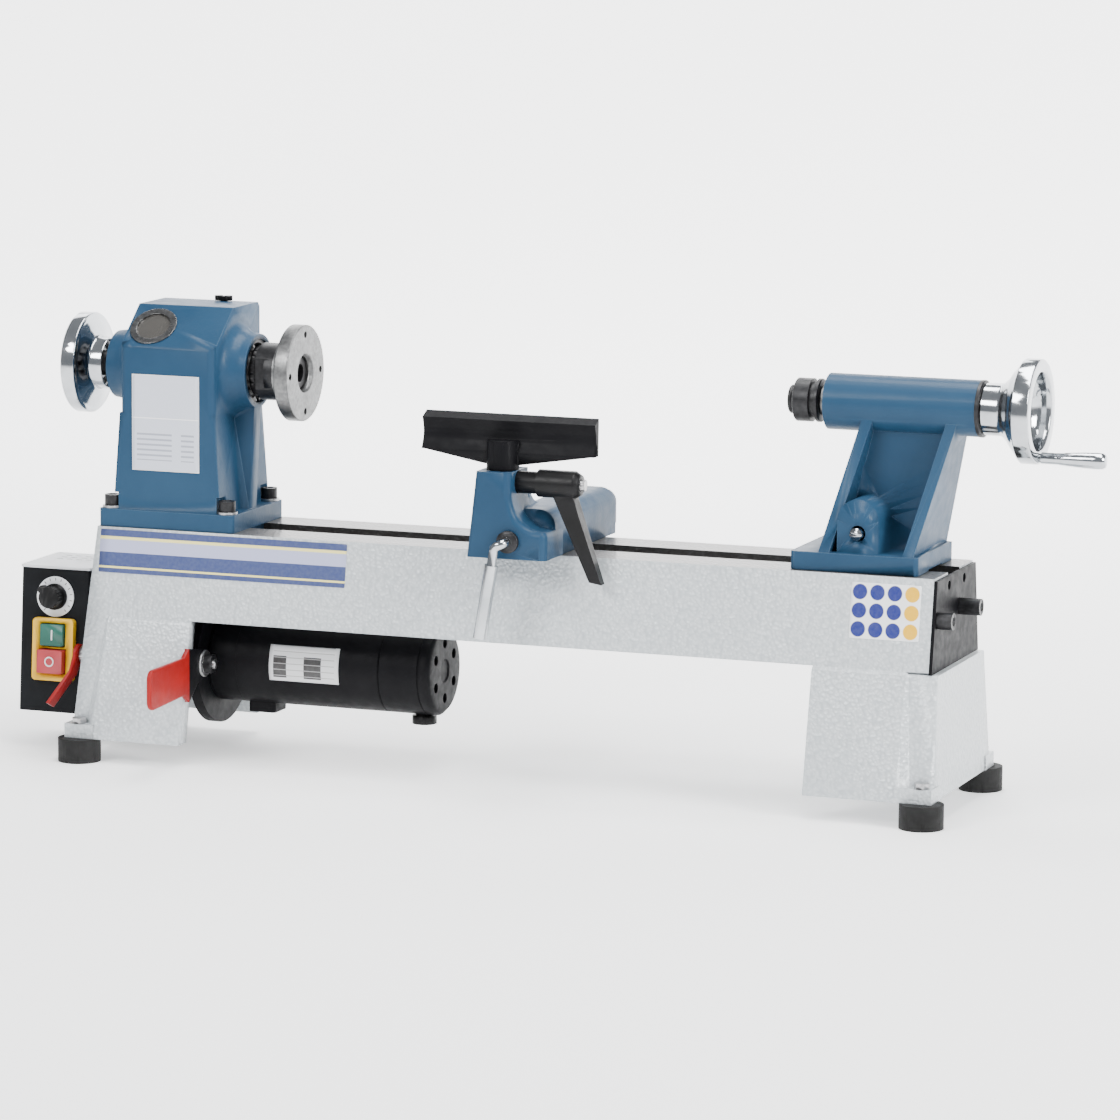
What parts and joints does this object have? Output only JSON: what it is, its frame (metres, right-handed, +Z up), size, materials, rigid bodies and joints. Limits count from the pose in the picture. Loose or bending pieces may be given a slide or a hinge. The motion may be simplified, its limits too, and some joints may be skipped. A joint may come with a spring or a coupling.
{
  "type": "benchtop wood lathe",
  "caption": "Benchtop wood lathe with belt-driven headstock, variable-speed motor, sliding banjo with tool rest, and a tailstock with live centre and crank handwheel.",
  "frame": {"origin": "middle of the whole machine's box, on the bench surface under the rubber feet", "axes": "+X along the spindle axis from the headstock to the tailstock, +Y from the operator to the back, +Z up"},
  "size_m": [1.0878, 0.3074, 0.4465],
  "materials": {
    "bed_paint": "light grey hammered paint",
    "black_steel": "black paint",
    "black_oxide": "black oxide",
    "foot_rubber": "matt black",
    "blue_paint": "steel-blue enamel",
    "chrome": "polished chrome",
    "steel": "machined",
    "alloy": "cast and turned",
    "plate_silver": "printed silver plate",
    "window_glass": "clear",
    "belt_rubber": "matt black",
    "red_vinyl": "dipped vinyl",
    "box_paint": "dark slate powder coat",
    "lid_paint": "light grey",
    "black_plastic": "black",
    "yellow_plastic": "yellow",
    "green_plastic": "green",
    "red_plastic": "red"
  },
  "bodies": {
    "stand": {"bed_casting": "bed_paint", "bed_end_plate": "black_steel", "end_plate_screws": "black_oxide", "rubber_feet": "foot_rubber", "foot_bolts": "steel", "headstock_casting": "blue_paint", "sight_window_ring": "steel", "sight_window_glass": "window_glass", "headstock_bolts": "black_oxide", "headstock_washers": "steel", "headstock_data_plate": "plate_silver", "front_bearing": "steel", "rear_bearing": "steel", "bearing_circlip": "black_oxide", "drive_belt": "belt_rubber", "control_box_housing": "box_paint", "control_box_lid": "lid_paint", "dial_plate": "black_plastic", "switch_housing": "yellow_plastic", "cable_gland": "black_plastic"},
    "belt_door": {"rear_belt_cover": "blue_paint"},
    "door_knob": {"belt_cover_knob": "black_plastic"},
    "spindle_unit": {"spindle": "black_oxide", "faceplate": "steel", "outboard_handwheel": "chrome", "spindle_pulley": "alloy"},
    "motor": {"motor_mount_plate": "black_steel", "motor_pivot_pin": "steel", "motor_drive_end_cap": "black_steel", "motor_housing": "black_steel", "motor_brush_end_cap": "black_steel", "motor_brush_caps": "black_plastic", "motor_lift_lever": "red_vinyl", "lift_lever_nut": "black_oxide"},
    "armature": {"motor_armature": "steel", "motor_pulley": "alloy"},
    "lock_lever": {"belt_lock_lever": "red_vinyl"},
    "speed_dial": {"speed_knob": "black_plastic"},
    "start_key": {"start_button": "green_plastic"},
    "stop_key": {"stop_button": "red_plastic"},
    "banjo_plate": {"banjo_clamp_plate": "steel"},
    "banjo_bolt": {"banjo_clamp_bolt": "steel"},
    "banjo": {"banjo_casting": "blue_paint"},
    "banjo_lever": {"banjo_cam_lever": "chrome"},
    "rest_post": {"tool_rest_post": "steel"},
    "rest_bar": {"tool_rest_bar": "black_steel"},
    "rest_clamp": {"rest_clamp_handle": "black_plastic"},
    "tailstock": {"tailstock_casting": "blue_paint", "thrust_collar": "black_oxide", "tailstock_clamp_bolt": "steel", "tailstock_clamp_plate": "steel"},
    "tail_lever": {"tailstock_cam_lever": "chrome"},
    "quill_lock": {"quill_lock_lever": "chrome"},
    "quill": {"tailstock_quill": "steel", "live_centre_body": "black_oxide"},
    "centre_nose": {"live_centre_nose": "black_oxide"},
    "tail_wheel": {"quill_screw": "steel", "tailstock_handwheel": "chrome"},
    "crank": {"crank_handle": "chrome"}
  },
  "joints": [
    {"name": "spindle_spin", "type": "hinge", "parent": "stand", "child": "spindle_unit", "pos_m": [-0.325, 0.0327, 0.3795], "axis": [1, 0, 0], "continuous": true},
    {"name": "motor_swing", "type": "hinge", "parent": "stand", "child": "motor", "pos_m": [-0.347, 0.0927, 0.096], "axis": [-1, 0, 0], "range_deg": [0, 6]},
    {"name": "armature_spin", "type": "hinge", "parent": "motor", "child": "armature", "pos_m": [-0.347, 0.0327, 0.096], "axis": [1, 0, 0], "continuous": true},
    {"name": "lock_lever_turn", "type": "hinge", "parent": "motor", "child": "lock_lever", "pos_m": [-0.347, -0.0293, 0.098], "axis": [-1, 0, 0], "range_deg": [0, 50]},
    {"name": "belt_door_swing", "type": "hinge", "parent": "stand", "child": "belt_door", "pos_m": [-0.4215, 0.0963, 0.34], "axis": [0, 0, 1], "range_deg": [0, 110]},
    {"name": "door_knob_turn", "type": "hinge", "parent": "stand", "child": "door_knob", "pos_m": [-0.363, 0.0767, 0.441], "axis": [0, 0, 1], "range_deg": [0, 180]},
    {"name": "speed_knob_turn", "type": "hinge", "parent": "stand", "child": "speed_dial", "pos_m": [-0.5055, -0.01623, 0.15074], "axis": [0, 0.9975, -0.0702], "range_deg": [-90, 190]},
    {"name": "start_press", "type": "slide", "parent": "stand", "child": "start_key", "axis": [0, 0.9975, -0.0702], "range_m": [0, 0.0025], "stiffness_N_per_m": 400},
    {"name": "stop_press", "type": "slide", "parent": "stand", "child": "stop_key", "axis": [0, 0.9975, -0.0702], "range_m": [0, 0.003], "stiffness_N_per_m": 400},
    {"name": "banjo_travel", "type": "slide", "parent": "stand", "child": "banjo_plate", "axis": [1, 0, 0], "range_m": [-0.235, 0.215]},
    {"name": "banjo_turn", "type": "hinge", "parent": "banjo_plate", "child": "banjo_bolt", "pos_m": [-0.004, 0.0327, 0.2], "axis": [0, 0, 1], "range_deg": [-30, 5]},
    {"name": "banjo_reach", "type": "slide", "parent": "banjo_bolt", "child": "banjo", "axis": [0, 1, 0], "range_m": [-0.05, 0.006]},
    {"name": "banjo_lever_turn", "type": "hinge", "parent": "banjo", "child": "banjo_lever", "pos_m": [-0.004, -0.0753, 0.244], "axis": [0, 1, 0], "range_deg": [-15, 100]},
    {"name": "rest_height", "type": "slide", "parent": "banjo", "child": "rest_post", "axis": [0, 0, 1], "range_m": [0, 0.03]},
    {"name": "rest_turn", "type": "hinge", "parent": "rest_post", "child": "rest_bar", "pos_m": [-0.019, -0.0513, 0.3], "axis": [0, 0, 1], "range_deg": [-180, 180]},
    {"name": "rest_clamp_turn", "type": "hinge", "parent": "banjo", "child": "rest_clamp", "pos_m": [0.015, -0.0513, 0.298], "axis": [-1, 0, 0], "range_deg": [0, 140]},
    {"name": "tailstock_travel", "type": "slide", "parent": "stand", "child": "tailstock", "axis": [1, 0, 0], "range_m": [-0.215, 0.018]},
    {"name": "tail_lever_turn", "type": "hinge", "parent": "tailstock", "child": "tail_lever", "pos_m": [0.321, 0.0327, 0.263], "axis": [0, 1, 0], "range_deg": [-80, 45]},
    {"name": "quill_lock_turn", "type": "hinge", "parent": "tailstock", "child": "quill_lock", "pos_m": [0.367, 0.0627, 0.3795], "axis": [0, 1, 0], "range_deg": [-60, 60]},
    {"name": "tail_wheel_turn", "type": "hinge", "parent": "tailstock", "child": "tail_wheel", "pos_m": [0.425, 0.0327, 0.3795], "axis": [1, 0, 0], "range_deg": [0, 7200]},
    {"name": "quill_travel", "type": "slide", "parent": "tailstock", "child": "quill", "axis": [-1, 0, 0], "range_m": [0, 0.0602]},
    {"name": "centre_spin", "type": "hinge", "parent": "quill", "child": "centre_nose", "pos_m": [0.245, 0.0327, 0.3795], "axis": [1, 0, 0], "continuous": true},
    {"name": "crank_spin", "type": "hinge", "parent": "tail_wheel", "child": "crank", "pos_m": [0.495, 0.0327, 0.3365], "axis": [1, 0, 0], "continuous": true}
  ],
  "couplings": [
    {"joint": "armature_spin", "follows": "spindle_spin", "ratio": 2.1917},
    {"joint": "quill_travel", "follows": "tail_wheel_turn", "m_per_rad": 0.0004775}
  ]
}
